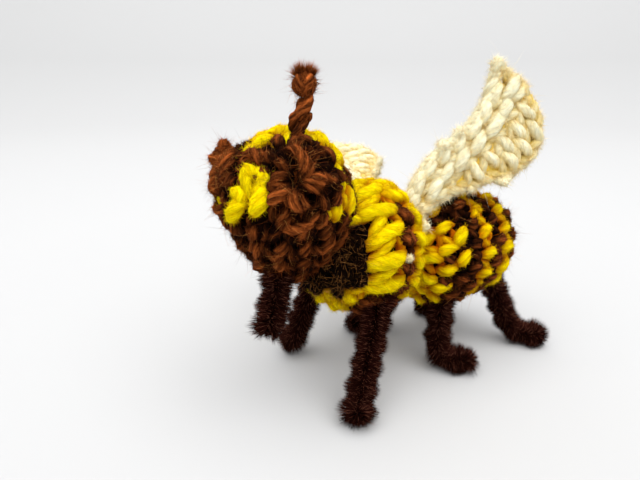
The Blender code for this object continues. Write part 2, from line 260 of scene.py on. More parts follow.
# ---------------- meshes
class Piece:
    """Gathers closed shapes and makes them one object with its tint, fibre direction and bake map."""

    def __init__(self, name):
        self.name, self.parts, self.count = name, [], 0

    def add(self, verts, tint, fibre, faces, slot=0):
        """tint is a colour and how streaky it is. faces is a list of corner indices (F, k) and their
        places on the bake map (F, k, 2)."""
        streaky = np.ones((len(tint), 1)) if tint.shape[1] == 3 else tint[:, 3:]
        sizes = np.concatenate([np.full(len(corners), corners.shape[1]) for corners, _ in faces])
        self.parts.append((
            verts, np.concatenate([tint[:, :3], streaky], 1), fibre,
            np.concatenate([corners.ravel() for corners, _ in faces]) + self.count, sizes,
            np.full(len(sizes), slot), np.concatenate([uvs.reshape(-1, 2) for _, uvs in faces])))
        self.count += len(verts)

    def build(self, materials):
        mesh = bpy.data.meshes.new(self.name)
        verts, tints, fibres, corners, sizes, slots, uvs = (
            np.concatenate(part) for part in zip(*self.parts))
        mesh.vertices.add(len(verts))
        mesh.loops.add(len(corners))
        mesh.polygons.add(len(sizes))
        for elements, field, values, kind in (
                (mesh.vertices, "co", (verts + SHIFT) * MM, np.float32),
                (mesh.loops, "vertex_index", corners, np.int32),
                (mesh.polygons, "loop_start", np.cumsum(sizes) - sizes, np.int32),
                (mesh.polygons, "material_index", slots, np.int32),
                (mesh.polygons, "use_smooth", np.ones(len(sizes)), bool)):
            elements.foreach_set(field, values.astype(kind).ravel())
        mesh.update(calc_edges=True)
        layer = mesh.uv_layers.new(name="OFBake")
        layer.uv.foreach_set("vector", uvs.astype(np.float32).ravel())
        for name, kind, field, values in (("tint", "FLOAT_COLOR", "color", tints),
                                          ("fibre", "FLOAT_VECTOR", "vector", fibres)):
            data = mesh.attributes.new(name, kind, "POINT").data
            data.foreach_set(field, values.astype(np.float32).ravel())
        for material in materials:
            mesh.materials.append(material)
        return add_object(self.name, mesh)


def smooth_paths(knots, count):
    """Catmull-Rom curves through (N, k, 3) knots, each sampled at count points."""
    knots = np.asarray(knots, float)
    first = 2 * knots[:, :1] - knots[:, 1:2]
    last = 2 * knots[:, -1:] - knots[:, -2:-1]
    held = np.concatenate([first, knots, last], axis=1)
    place = np.linspace(0, knots.shape[1] - 1, count)
    span = np.minimum(place.astype(int), knots.shape[1] - 2)
    t = (place - span)[None, :, None]
    a, b, c, d = (held[:, span + step] for step in range(4))
    return 0.5 * (2 * b + (c - a) * t + (2 * a - 5 * b + 4 * c - d) * t ** 2
                  + (3 * b - a - 3 * c + d) * t ** 3)


TIP_REACH = 0.6  # how far a tube's tip stands out past its end, of its radius
TIP_SHORT = 0.2  # of a ring's height on the bake map
BAKE_MARGIN = 0.04  # of each patch of the bake map
CAP_PLACE, CAP_SIZE = np.array([0.03, 0.5]), np.array([0.03, 0.4])  # of a root cap on its patch


class Sweep:
    """Closed tubes along (N, M, 3) paths with (N, M, K) radii; the last vertex of each is its tip."""

    def __init__(self, paths, radii, lead, tangent=None):
        self.count, self.rings, self.sides = radii.shape
        if tangent is None:
            tangent = unit(np.gradient(paths, axis=1))
        normal = np.empty_like(paths)
        current = lead
        for ring in range(self.rings):
            along = tangent[:, ring]
            current = unit(current - (current * along).sum(-1, keepdims=True) * along)
            normal[:, ring] = current
        side = np.cross(tangent, normal)
        self.outward = turned(normal[:, :, None], side[:, :, None], full_turn(self.sides))
        self.rim = paths[:, :, None] + radii[..., None] * self.outward
        self.tangent = np.broadcast_to(tangent[:, :, None], self.rim.shape)
        self.tip = paths[:, -1] + tangent[:, -1] * radii[:, -1].mean(-1, keepdims=True) * TIP_REACH

    def with_tip(self, rim_values, tip_values=None):
        """Per-vertex values (N, M, K, c) and a value for each tip, in vertex order."""
        flat = rim_values.reshape(self.count, self.rings * self.sides, -1)
        if tip_values is None:
            tip_values = rim_values[:, -1].mean(1)
        return np.concatenate([flat, tip_values[:, None]], 1).reshape(-1, flat.shape[-1])

    def points(self):
        return self.with_tip(self.rim, self.tip)

    def faces(self, origin, size):
        """Quads, tips and root caps, each tube on its own patch of the bake map."""
        rings, sides = self.rings, self.sides
        ring, side = (grid.reshape(-1, 1) for grid in np.mgrid[:rings - 1, :sides])
        ring, side = ring + [0, 0, 1, 1], side + [0, 1, 1, 0]
        quads = ring * sides + side % sides
        quad_uv = np.stack([ring / rings, side / sides], -1)
        side = np.arange(sides)[:, None]
        tips = (rings - 1) * sides + (side + [0, 1]) % sides
        tips = np.concatenate([tips, np.full((sides, 1), rings * sides)], 1)
        tip_uv = np.stack(np.broadcast_arrays(np.array([rings - 1, rings - 1, rings - TIP_SHORT]) / rings,
                                              (side + [0, 1, 0.5]) / sides), -1)
        turn = full_turn(sides)[None, ::-1]
        cap = np.arange(sides)[None, ::-1]
        cap_uv = CAP_PLACE + CAP_SIZE * np.stack([np.cos(turn), np.sin(turn)], -1)
        start = (rings * sides + 1) * np.arange(self.count)[:, None, None]

        def placed(uv):
            held = origin[:, None, None] + size * (BAKE_MARGIN + (1 - 2 * BAKE_MARGIN) * uv)
            return held.reshape(-1, uv.shape[1], 2)

        return [((start + corners).reshape(-1, corners.shape[1]), placed(uv))
                for corners, uv in ((quads, quad_uv), (tips, tip_uv), (cap, cap_uv))]

    def plain(self, colour):
        """What Piece.add needs for a single tube of one colour."""
        tint = np.broadcast_to(colour, self.rim.shape)
        return (self.points(), self.with_tip(tint), self.with_tip(self.rim),
                self.faces(np.zeros((1, 2)), 1.0))


def cells(count):
    """Corners of equal square cells that fill the bake map, and their size."""
    across = math.ceil(math.sqrt(count))
    index = np.arange(count)
    return np.stack([index % across, index // across], -1) / across, 1.0 / across


def smoothstep(low, high, values):
    t = np.clip((values - low) / (high - low), 0.0, 1.0)
    return t * t * (3 - 2 * t)


KNOTS = 5  # places that a strand is laid through


class Strands:
    """Lengths of yarn that are laid first and then made into a piece together."""

    def __init__(self):
        self.laid = []

    def lay(self, knots, radius, lead, yarn):
        """Knots (N, KNOTS, 3), radius (N,), the direction that faces outwards (N, 3) and the yarn (N,)."""
        count = len(knots)
        self.laid.append((smooth_paths(knots, 2 * KNOTS - 1), np.broadcast_to(radius, count),
                          np.broadcast_to(lead, (count, 3)), np.broadcast_to(yarn, count)))

    def lay_on(self, ball, ring, around, height, radius, yarn):
        """The same on a ball, through ring and around angles and heights (N, KNOTS)."""
        ring, around, height = np.broadcast_arrays(ring, around, height)
        lead = ball.up(ring[:, KNOTS // 2], around[:, KNOTS // 2])
        self.lay(ball.at(ring, around, height), radius, lead, yarn)

    def gather(self):
        return [np.concatenate(values) for values in zip(*self.laid)]


STRAND_RINGS, STRAND_SIDES = 10, 16
STRAND_END = 0.62  # how thick a strand is at its ends, of its radius
STRAND_SWELL = 0.8  # below 1, it gets to its full thickness sooner
STREAK_OFFSETS = (37.0, 5.0)  # these keep two strands from having the same streaks
STREAKY_PAINTED_SHADE = 0.7  # how much sooner a streaky yarn's painted shade gets dark
BRIGHTNESSES = (-1.0, 0.8)  # of the strands, times their yarn's spread
FUZZ_FROM = -0.2  # height from which fuzz grows
FIBRE_WIDTHS = (0.06, 0.10)
FIBRE_TAPER = 0.72
FIBRE_SIDES = 3
FIBRE_PATCH = 0.003  # of the bake map


def make_yarn(piece, strands, height_of, deep, top):
    """Plied strands with painted shade, darker in the grooves and deep between the stitches. Returns the
    places where fuzz can grow, the ways out of the yarn and along it there, and the tints."""
    knots, radius, lead, yarn = strands.gather()
    count = len(knots)
    paths = smooth_paths(knots, STRAND_RINGS)
    part = np.linspace(0, 1, STRAND_RINGS)
    swell = STRAND_END + (1 - STRAND_END) * np.sin(np.pi * part) ** STRAND_SWELL
    along = stations(paths)
    groove, uneven, shade, streaky, spread = (table[yarn][:, None, None] for table in (
        YARN_GROOVES, YARN_ROUGHNESS, YARN_SHADES, YARN_STREAKS, YARN_SPREAD))
    start = RNG.uniform(0, 2 * np.pi, (count, 1, 1))
    turn = full_turn(STRAND_SIDES) - PLY_TWIST * along[..., None] - start
    crest = np.abs(np.cos(0.5 * PLIES * turn))
    girth = radius[:, None, None] * swell[None, :, None]
    rough = 1.0 + uneven * RNG.normal(size=crest.shape)
    sweep = Sweep(paths, girth * rough * (1.0 - groove * (1.0 - crest)), lead)
    fibre = np.stack(np.broadcast_arrays(along[..., None] + STREAK_OFFSETS[0] * start,
                                         girth * np.cos(turn) + STREAK_OFFSETS[1] * start,
                                         girth * np.sin(turn)), -1)
    # painted shade: darkest deep between the stitches and in the grooves between the plies, full colour on
    # the crests
    light = smoothstep(deep, top, height_of(sweep.rim)) * (1.0 - shade * (1.0 - crest))
    light **= 1.0 + STREAKY_PAINTED_SHADE * streaky
    each = 1.0 + spread[..., None] * RNG.uniform(*BRIGHTNESSES, (count, 1, 1, 1))
    colour, shadow = YARNS[yarn][:, None, None], YARNS_PAINTED_SHADE[yarn][:, None, None]
    tint = (shadow + (colour - shadow) * light[..., None]) * each
    tint = np.concatenate([tint, np.broadcast_to(streaky[..., None], tint.shape[:3] + (1,))], -1)
    origin, size = cells(count)
    piece.add(sweep.points(), sweep.with_tip(tint), sweep.with_tip(fibre), sweep.faces(origin, size))
    open_air = height_of(sweep.rim) > FUZZ_FROM
    return [values[open_air] for values in (sweep.rim, sweep.outward, sweep.tangent, tint)]


def make_spikes(piece, root, direction, bend, length, width, low, high, place, rings=1):
    """Thin fibres that taper to a point, coloured from low at the root to high at the tip. They curve
    if they have more than one ring."""
    part = np.linspace(0, 1, rings + 1)[:-1]
    reach = part[None, :, None] * length[:, None, None]
    paths = root[:, None] + direction[:, None] * reach + bend[:, None] * reach * part[None, :, None]
    taper = 1.0 - FIBRE_TAPER * part
    radii = np.broadcast_to((0.5 * width[:, None] * taper)[..., None], (len(root), rings, FIBRE_SIDES))
    lead = unit(np.cross(direction, RNG.normal(size=direction.shape)))
    sweep = Sweep(paths, radii, lead, np.broadcast_to(direction[:, None], paths.shape))
    sweep.tip = root + direction * length[:, None] + bend * length[:, None]
    mix = part[None, :, None, None]
    tint = low[:, None, None] * (1 - mix) + high[:, None, None] * mix
    tint = np.broadcast_to(tint, sweep.rim.shape)
    piece.add(sweep.points(), sweep.with_tip(tint, high), sweep.with_tip(sweep.rim),
              sweep.faces(place, FIBRE_PATCH))


def ball_core(ball, height, colour, rings=24, around=40):
    """The inner ball that shows between the stitches, coloured dark as painted shade in the gaps: a plain
    closed ball, for Piece.add.
    """
    ring_grid, turn_grid = np.meshgrid(np.linspace(0, np.pi, rings + 1)[1:-1], full_turn(around),
                                       indexing="ij")
    verts = ball.at(ring_grid, turn_grid, np.full(ring_grid.shape, height)).reshape(-1, 3)
    poles = ball.at(np.array([0.0, np.pi]), np.zeros(2), np.full(2, height))
    verts = np.concatenate([verts, poles])
    index = np.arange((rings - 1) * around).reshape(rings - 1, around)
    after = np.roll(index, -1, axis=1)
    quads = np.stack([index[:-1], index[1:], after[1:], after[:-1]], -1).reshape(-1, 4)
    first = np.stack([np.full(around, len(verts) - 2), index[0], after[0]], -1)
    last = np.stack([np.full(around, len(verts) - 1), after[-1], index[-1]], -1)
    uv = ball.unwrap(verts)
    return (verts, np.broadcast_to(colour, verts.shape), verts,
            [(faces, uv[faces]) for faces in (quads, first, last)])


# ---------------- materials
WOOL_GLOSS = 0.03
FINE_STREAKS, BROAD_STREAKS = (0.7, 3.2, 4.0), (0.5, 1.3, 2.0)  # scales along and across, and detail
FINE_CONTRAST = (0.32, 0.68, -0.75, 0.62)  # a ramp: from, to, and what they become
BROAD_CONTRAST = (0.3, 0.7, 0.85, 1.1)
FINE_ROUGHNESS = (0.3, 0.7, 0.95, 0.72)
GRAIN_CONTRAST = (0.3, 0.7, 0.8, 1.2)
STREAK_DEPTH = 0.0005  # metres
STREAK_NOISE = {"Scale": 1.0, "Roughness": 0.6, "Distortion": 1.2}
GRAIN_NOISE = {"Scale": 0.8, "Detail": 2.0}


def new_material(name, build, roughness, gloss=0.0):
    material = bpy.data.materials.new(name)
    material.use_nodes = True
    tree = material.node_tree
    shader = tree.nodes["Principled BSDF"]
    shader.inputs["Roughness"].default_value = roughness
    shader.inputs["Specular IOR Level"].default_value = gloss
    build(tree, shader)
    return material


def node(tree, kind, operation=None, **inputs):
    """A new node. Inputs are given by name, or by number for those that share one, as in_0 and in_1."""
    made = tree.nodes.new(kind)
    if operation:
        made.operation = operation
    for name, value in inputs.items():
        socket = made.inputs[int(name[3:]) if name.startswith("in_") else name]
        if isinstance(value, bpy.types.NodeSocket):
            tree.links.new(value, socket)
        else:
            socket.default_value = value
    return made


def attribute(tree, name, output):
    found = tree.nodes.new("ShaderNodeAttribute")
    found.attribute_name = name
    return found.outputs[output]


def streaks(tree, scale_along, scale_across, detail):
    """Noise drawn out along the fibres of the yarn."""
    stretch = node(tree, "ShaderNodeMapping", Vector=attribute(tree, "fibre", "Vector"),
                   Scale=(scale_along, scale_across, scale_across))
    return node(tree, "ShaderNodeTexNoise", Vector=stretch.outputs["Vector"], Detail=detail,
                **STREAK_NOISE).outputs["Fac"]


def ramp(tree, value, low, high, out_low, out_high):
    return node(tree, "ShaderNodeMapRange", **{
        "Value": value, "From Min": low, "From Max": high, "To Min": out_low,
        "To Max": out_high}).outputs["Result"]


def scaled_tint(tree, factor):
    return node(tree, "ShaderNodeVectorMath", "SCALE", in_0=attribute(tree, "tint", "Color"),
                Scale=factor).outputs["Vector"]


def build_yarn(tree, shader):
    fine, broad = streaks(tree, *FINE_STREAKS), streaks(tree, *BROAD_STREAKS)
    streak = node(tree, "ShaderNodeMath", "MULTIPLY", in_0=ramp(tree, fine, *FINE_CONTRAST),
                  in_1=attribute(tree, "tint", "Alpha")).outputs["Value"]
    factor = node(tree, "ShaderNodeMath", "ADD", in_0=streak,
                  in_1=ramp(tree, broad, *BROAD_CONTRAST)).outputs["Value"]
    tree.links.new(scaled_tint(tree, factor), shader.inputs["Base Color"])
    tree.links.new(ramp(tree, fine, *FINE_ROUGHNESS), shader.inputs["Roughness"])
    bump = node(tree, "ShaderNodeBump", Height=fine, Strength=1.0, Distance=STREAK_DEPTH)
    tree.links.new(bump.outputs["Normal"], shader.inputs["Normal"])


def build_fuzz(tree, shader):
    grain = node(tree, "ShaderNodeTexNoise", Vector=attribute(tree, "fibre", "Vector"),
                 **GRAIN_NOISE).outputs["Fac"]
    tree.links.new(scaled_tint(tree, ramp(tree, grain, *GRAIN_CONTRAST)), shader.inputs["Base Color"])


YARN = new_material("yarn", build_yarn, roughness=0.9, gloss=WOOL_GLOSS)
FUZZ = new_material("fuzz", build_fuzz, roughness=0.85, gloss=WOOL_GLOSS)
CHENILLE = new_material("chenille", build_fuzz, roughness=0.95)
# the inner balls under the stitches, dark with painted shade
PAINTED_SHADE_CORE = new_material("painted_shade_core", build_fuzz, roughness=0.95)


# ---------------- stitches
LEG_TEMPLATE = np.array([  # across and along the stitch, of its own size, and height in mm
    (-0.03, -0.66, -1.5), (-0.11, -0.36, -0.45), (-0.25, 0.0, 0.0), (-0.37, 0.36, -0.4),
    (-0.42, 0.68, -1.5)])
LOOP_TEMPLATE = np.array([
    (-0.52, 0.50, -1.1), (-0.26, 0.57, -0.65), (0.0, 0.6, -0.5), (0.26, 0.57, -0.65),
    (0.52, 0.50, -1.1)])
STITCH_LOOSE = 0.16  # how unevenly the yarn is pulled, in mm
STITCH_LEAN = 0.12  # radians
TO_POLE = math.pi  # heading of a stitch whose open end faces the pole
BROWN_SINK = -0.25  # the brown yarn is pulled tighter and lies lower, in mm
FEWEST_STITCHES = 5  # in a round
THICKNESSES = (0.92, 1.1)  # how thin and how thick the yarn gets, of its radius


def lay_stitches(surface, u, v, tall, wide, yarn, strands, heading=0.0, favour=1.0, size=1.0,
                 rise=0.0, loose=1.0):
    """A V of two legs with a loop across its open end, which faces along u when the heading is 0.

    favour picks the leg that lies on top. Sizes are in millimetres."""
    count = len(u)
    if not count:
        return
    sink = np.where(yarn == BROWN_YARN, BROWN_SINK, 0.0)[:, None]
    turn = heading + RNG.normal(0, loose * STITCH_LEAN, (count, 1))
    up = surface.up(u, v)
    per_u, per_v = (scale[:, None] for scale in surface.metric(u, v))
    for mirror, template, radius, drop, other in ((favour, LEG_TEMPLATE, 1.08, 0.1, YELLOW_YARN),
                                                  (-favour, LEG_TEMPLATE, 0.9, -0.35, BROWN_YARN),
                                                  (1.0, LOOP_TEMPLATE, 0.72, -0.5, BROWN_YARN)):
        uneven = RNG.normal(0, loose * STITCH_LOOSE, (3, count, KNOTS))
        across = mirror * template[:, 0] * np.reshape(wide, (-1, 1)) + uneven[0]
        along = template[:, 1] * np.reshape(tall, (-1, 1)) + uneven[1]
        height = STRAND_TOP + rise + drop + sink + template[:, 2] + uneven[2]
        knots = surface.at(u[:, None] + (along * np.cos(turn) - across * np.sin(turn)) / per_u,
                           v[:, None] + (along * np.sin(turn) + across * np.cos(turn)) / per_v, height)
        strands.lay(knots, STRAND_RADIUS * size * radius * RNG.uniform(*THICKNESSES, count), up,
                    np.where(yarn == MIXED_YARN, other, yarn))


def choose_yarns(patches, ring, around):
    """The yarn of each stitch of a round, in brown where no patch says otherwise."""
    yarns = np.full(len(around), BROWN_YARN)
    for yarn, (low, high), (start, end), every in patches:
        if low < ring < high:
            yarns[(around > start) & (around < end) & (np.arange(len(around)) % every == 0)] = yarn
    return yarns


def crochet_rounds(ball, edges, patches, strands, keep, heading=0.0, phase=0.0, width=4.6, most=16,
                   **look):
    """Single crochet in rounds between ring angles; phase is where a stitch is centred. Both are in
    degrees."""
    limits = np.radians(edges)
    for number, (near, far) in enumerate(zip(limits, limits[1:])):
        middle = np.array([0.5 * (near + far)])
        per_ring, per_around = ball.metric(middle, np.zeros(1))
        count = int(np.clip(round(2 * np.pi * per_around[0] / width), FEWEST_STITCHES, most))
        around = math.radians(phase) + 2 * np.pi * (np.arange(count) + 0.5 * (number % 2)) / count
        around = (around + np.pi) % (2 * np.pi) - np.pi
        ring = np.repeat(middle, count)
        held = keep(ball.at(ring, around, np.zeros(count)))
        yarn = choose_yarns(patches, math.degrees(middle[0]), np.degrees(around))
        tall, wide = per_ring[0] * (far - near), 2 * np.pi * per_around[0] / count
        lay_stitches(ball, ring[held], around[held], tall, wide, yarn[held], strands, heading, **look)


ROPE_LOBE = np.array([0.2, 0.85, 1.0, 0.85, 0.2])  # how far out a lobe lies along its length
KNOT_LENGTHS = 12
KNOT_HALF_TURN = 1.7
KNOT_YARN = 0.45  # the yarn's radius, of the knot's
KNOT_THICKNESSES = (0.9, 1.1)
LOBE_END = 0.6  # a rope's last lobe starts at least this much of a lobe before its end


def lay_rope(centres, side, up, yarn, strands, girth, pitch, link, radius):
    """Overlapping lobes of yarn twisted round a line of closely spaced centres, two to a pitch."""
    along = stations(centres)
    starts = np.arange(0.0, along[-1] - LOBE_END * link, 0.5 * pitch)
    place = starts[:, None] + np.linspace(0, link, KNOTS)
    angle = np.pi * (place / pitch + (np.arange(len(starts)) % 2)[:, None])
    reach = np.interp(place, along, np.broadcast_to(girth, along.shape)) * ROPE_LOBE
    middle, side, up = (sample(place, along, values) for values in (centres, side, up))
    outward = turned(side, up, angle)
    strands.lay(middle + reach[..., None] * outward, radius * RNG.uniform(*THICKNESSES, len(starts)),
                outward[:, 2], yarn)


def lay_knot(centre, size, strands):
    """A small knot: lengths of brown yarn wound round a point every way."""
    axis = unit(RNG.normal(size=(KNOT_LENGTHS, 3)))
    first = unit(np.cross(axis, RNG.normal(size=(KNOT_LENGTHS, 3))))
    turn = np.linspace(-KNOT_HALF_TURN, KNOT_HALF_TURN, KNOTS)
    arc = turned(first[:, None], np.cross(axis, first)[:, None], turn)
    radius = KNOT_YARN * size
    strands.lay(centre + (size - radius) * arc,
                radius * RNG.uniform(*KNOT_THICKNESSES, KNOT_LENGTHS), first, BROWN_YARN)


# ---------------- fuzz and finished pieces
WARM_ROOTS = np.array([1.0, 0.82, 0.68])  # light that passes through the wool at the roots
LOOSE_PALE = np.array([1.0, 0.43, 0.11])  # the palest of the loose fibres
FUZZ_DEPTH = 0.1  # how far below the yarn's surface a fibre starts, in mm
FUZZ_LIFTS, FUZZ_LENGTHS = (0.3, 2.0), (0.4, 1.1)
FUZZ_SPREAD, ROOT_PAINTED_SHADE, TIP_PAINTED_HIGHLIGHT = 0.5, 0.45, 0.3  # where the yarn is streaky: the spread of colours, painted shade at the roots and a painted highlight at the tips
ROOT_PALENESS = 0.3  # how pale a pale fibre's root is, of its tip
STRAY_REACH, STRAY_LIFT, STRAY_CURL, STRAY_BEND = 2.2, 0.9, 0.55, 2.0
STRAY_CHOICE = 5.0  # how much rather strays grow on the streakier yarns
STRAY_DROOP, STRAY_THINNING = 0.6, 0.8
PALE_RARITY, PALE_CHOICE = 10, 4


def grow_fuzz(name, slot, surface, sites, count, length, strays=0.08, rise=0.3, tangle=0.4):
    """Short fibres matted along the yarn, and longer curled ones, partly pale, that have worked loose."""
    piece = Piece("fuzz_" + name)
    for number, rings, reach, lift, curl in (
            (count, 1, length, rise, 0.0),
            (int(strays * count), 3, STRAY_REACH * length, STRAY_LIFT, STRAY_CURL)):
        chance = sites[-1][:, 3] ** (STRAY_CHOICE * curl)
        pick = RNG.choice(len(chance), number, p=chance / chance.sum())
        root, outward, along, tint = (values[pick] for values in sites)
        colour, contrast = tint[:, :3], tint[:, 3:]
        side = np.sign(RNG.uniform(-1, 1, (number, 1)))
        direction = unit(lift * RNG.uniform(*FUZZ_LIFTS, (number, 1)) * outward + side * along
                         + RNG.normal(0, tangle, (number, 3)))
        bend = STRAY_BEND * curl * unit(RNG.normal(size=(number, 3)) - STRAY_DROOP * outward)
        colour = colour * (1.0 + FUZZ_SPREAD * contrast * RNG.uniform(-1, 1, (number, 1)))
        paleness = RNG.random((number, 1)) ** PALE_RARITY * contrast ** PALE_CHOICE * curl
        pale = np.minimum(paleness, 1.0) * LOOSE_PALE
        make_spikes(piece, root - FUZZ_DEPTH * outward, direction, bend,
                    reach * RNG.uniform(*FUZZ_LENGTHS, number),
                    RNG.uniform(*FIBRE_WIDTHS, number) * (1.0 - STRAY_THINNING * curl),
                    # the root colour with painted shade, the tip colour with a painted highlight
                    colour * WARM_ROOTS * (1.0 - ROOT_PAINTED_SHADE * contrast) + ROOT_PALENESS * pale,
                    np.clip(colour * (1.0 + TIP_PAINTED_HIGHLIGHT * contrast) + pale, 0, 1),
                    surface.unwrap(root), rings)
    finish_piece(piece.build([FUZZ]), slot)


def finish_piece(obj, slot, *nodes):
    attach(obj, "root")
    if nodes:
        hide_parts(*nodes)


def build_crochet(name, slot, surface, strands, core, deep, top, **fuzz):
    """A piece of laid yarn, on its core if it has one, and the fuzz on it. The yarn's painted shade is
    darkest at the height deep and gives way to its full colour at the height top."""
    piece = Piece("crochet_" + name)
    sites = make_yarn(piece, strands, surface.height, deep, top)
    materials = [YARN]
    if core:
        piece.add(*core, slot=len(materials))
        materials.append(PAINTED_SHADE_CORE)
    obj = piece.build(materials)
    finish_piece(obj, slot, name)
    grow_fuzz(name, slot, surface, sites, **fuzz)
    return obj


# ---------------- head, thorax and abdomen
HEAD_EDGES = (0, 18, 36, 54, 72, 89, 105, 121, 137, 155, 180)  # of the rounds, in degrees
ALL_ROUND = (-181, 181)
# Which stitches aren't brown, or are brown again: the yarn, between which ring angles, between which
# angles around, and every which of the stitches there. Each patch covers those before it.
HEAD_PATCHES = (
    (YELLOW_YARN, (0, 89), ALL_ROUND, 1),
    (BROWN_YARN, (60, 89), (-76, -24), 1),  # below the left eye
    (BROWN_YARN, (55, 89), (-125, -76), 1),  # beside it
    (BROWN_YARN, (36, 55), (-103, -76), 1),
    (BROWN_YARN, (55, 89), (0, 180), 1),  # at the back
)
THORAX_PATCHES = (
    # the front of the thorax, under the head, in the near-black brown that paints the head's shadow
    (PAINTED_SHADOW_YARN, (0, 66), ALL_ROUND, 1),
    (YELLOW_YARN, (0, 103), (40, 140), 1),  # the back
    (YELLOW_YARN, (20, 37), (-50, -22), 1),  # by the chin
    (YELLOW_YARN, (37, 52), (-130, -50), 1),  # the belly
    (YELLOW_YARN, (52, 66), (-130, -28), 1),
    (YELLOW_YARN, (66, 103), (-28, 60), 1),  # the long stitches
    (YELLOW_YARN, (66, 103), (-181, -152), 1),
    (YELLOW_YARN, (66, 103), (120, 181), 1),
    (YELLOW_YARN, (103, 120), (60, 120), 1),  # the waist
    (YELLOW_YARN, (120, 180), ALL_ROUND, 1),
)
ABDOMEN_PATCHES = (
    (YELLOW_YARN, (13, 27), ALL_ROUND, 1),
    (YELLOW_YARN, (58, 74), ALL_ROUND, 1),
    (YELLOW_YARN, (88, 101), ALL_ROUND, 1),
    (MIXED_YARN, (113, 125), ALL_ROUND, 3),
    (YELLOW_YARN, (125, 155), ALL_ROUND, 1),
    (MIXED_YARN, (125, 139), ALL_ROUND, 2),
)
BROW_STRANDS = (  # ring and around, in degrees, along the strands on the brow
    ((60, -83), (55, -99), (74, -89)), ((53, -93), (59, -80), (69, -88)),
    ((63, -79), (73, -82), (82, -88)), ((70, -114), (71, -99), (79, -101)),
    ((73, -97), (82, -104), (89, -111)), ((54, -110), (43, -98), (50, -82)))
BROW_RADII = (1.25, 1.2, 1.55, 1.2, 1.45, 1.3)
BROW_YARNS = np.array([YELLOW_YARN] * 5 + [BROWN_YARN])
BROW_HEIGHTS = np.array([-0.3, 0.6, 0.7, 0.6, -0.3])
THORAX_ROUNDS = (  # the edges of the rounds and how they are worked
    ((0, 20, 37, 52, 66), {"width": 4.2, "loose": 1.8}),
    ((66, 103), {"heading": 0.4, "phase": 8.5, "size": 1.25}),
    ((103, 120), {"size": 1.15, "rise": -0.3, "loose": 1.5}),
    ((120, 137, 180), {"size": 1.15, "loose": 1.5}),
)
ABDOMEN_EDGES = (0, 13, 27, 42, 58, 74, 88, 101, 113, 125, 139, 155, 180)
YARN_END_RINGS, YARN_END_AROUND = (102, 107), (3, 5)
YARN_END_HEIGHTS = np.array([-1.0, 0.2, 0.5, 0.2, -1.0])
YARN_END_RADIUS = 0.2
CORE_DEPTH, EYE_CORE_DEPTH = -2.2, -2.0
# the inner balls' dark colours: painted shade in the gaps between the stitches
CORE_PAINTED_SHADES = {
    "head": (0.004, 0.001, 0.0003), "thorax": (0.008, 0.003, 0.0005),
    "abdomen": (0.01, 0.003, 0.0005), "eye": (0.006, 0.002, 0.001),
}
HEAD_OVERLAP, SEAM_OVERLAP = 1.5, 1.0  # how far stitches run on past where the balls meet
EYE_OVERLAP = 2.0  # how far the head's stitches run on under an eye


def past(plane, points):
    """How far points lie behind a plane."""
    point, normal = plane
    return (points - point) @ normal


def outside_eyes(points):
    clear = past(NECK, points) < HEAD_OVERLAP
    for eye in EYES.values():
        clear &= eye.height(points) > -EYE_OVERLAP
    return clear


def in_thorax(points):
    return (past(NECK, points) > -SEAM_OVERLAP) & (past(WAIST, points) < SEAM_OVERLAP)


def in_abdomen(points):
    return past(WAIST, points) > -SEAM_OVERLAP


def lay_yarn_end(strands):
    """A little of the wing's cream yarn that shows at the waist."""
    ring, around = (np.radians(np.linspace(*ends, KNOTS)) for ends in (YARN_END_RINGS, YARN_END_AROUND))
    strands.lay_on(THORAX, ring[None], around, YARN_END_HEIGHTS, YARN_END_RADIUS, CREAM_YARN)


def lay_brow(strands):
    """Two yellow stitches beside the left eye, each a loop with a fat leg, and a brown loop above."""
    places = smooth_paths(np.radians(BROW_STRANDS), KNOTS)
    strands.lay_on(HEAD, places[..., 0], places[..., 1], BROW_HEIGHTS, BROW_RADII, BROW_YARNS)


def build_bodies():
    strands = Strands()
    crochet_rounds(HEAD, HEAD_EDGES, HEAD_PATCHES, strands, outside_eyes, TO_POLE, loose=2.0)
    lay_brow(strands)
    core = ball_core(HEAD, CORE_DEPTH, CORE_PAINTED_SHADES["head"])
    head = build_crochet("head", "yarn_brown", HEAD, strands, core, deep=-0.65, top=0.85,
                         count=23000, length=1.0, strays=0.15, tangle=0.7)
    strands = Strands()
    for edges, look in THORAX_ROUNDS:
        crochet_rounds(THORAX, edges, THORAX_PATCHES, strands, in_thorax, **look)
    lay_yarn_end(strands)
    core = ball_core(THORAX, CORE_DEPTH, CORE_PAINTED_SHADES["thorax"])
    thorax = build_crochet("thorax", "yarn_yellow", THORAX, strands, core, deep=-1.2, top=0.8,
                           count=28000, length=1.1, strays=0.14, rise=0.4, tangle=0.6)
    strands = Strands()
    crochet_rounds(ABDOMEN, ABDOMEN_EDGES, ABDOMEN_PATCHES, strands, in_abdomen, TO_POLE,
                   favour=-1.0, loose=1.6)
    core = ball_core(ABDOMEN, CORE_DEPTH, CORE_PAINTED_SHADES["abdomen"])
    abdomen = build_crochet("abdomen", "yarn_yellow", ABDOMEN, strands, core, deep=-1.0, top=1.15,
                            count=24000, length=1.1, rise=0.4, tangle=0.6)


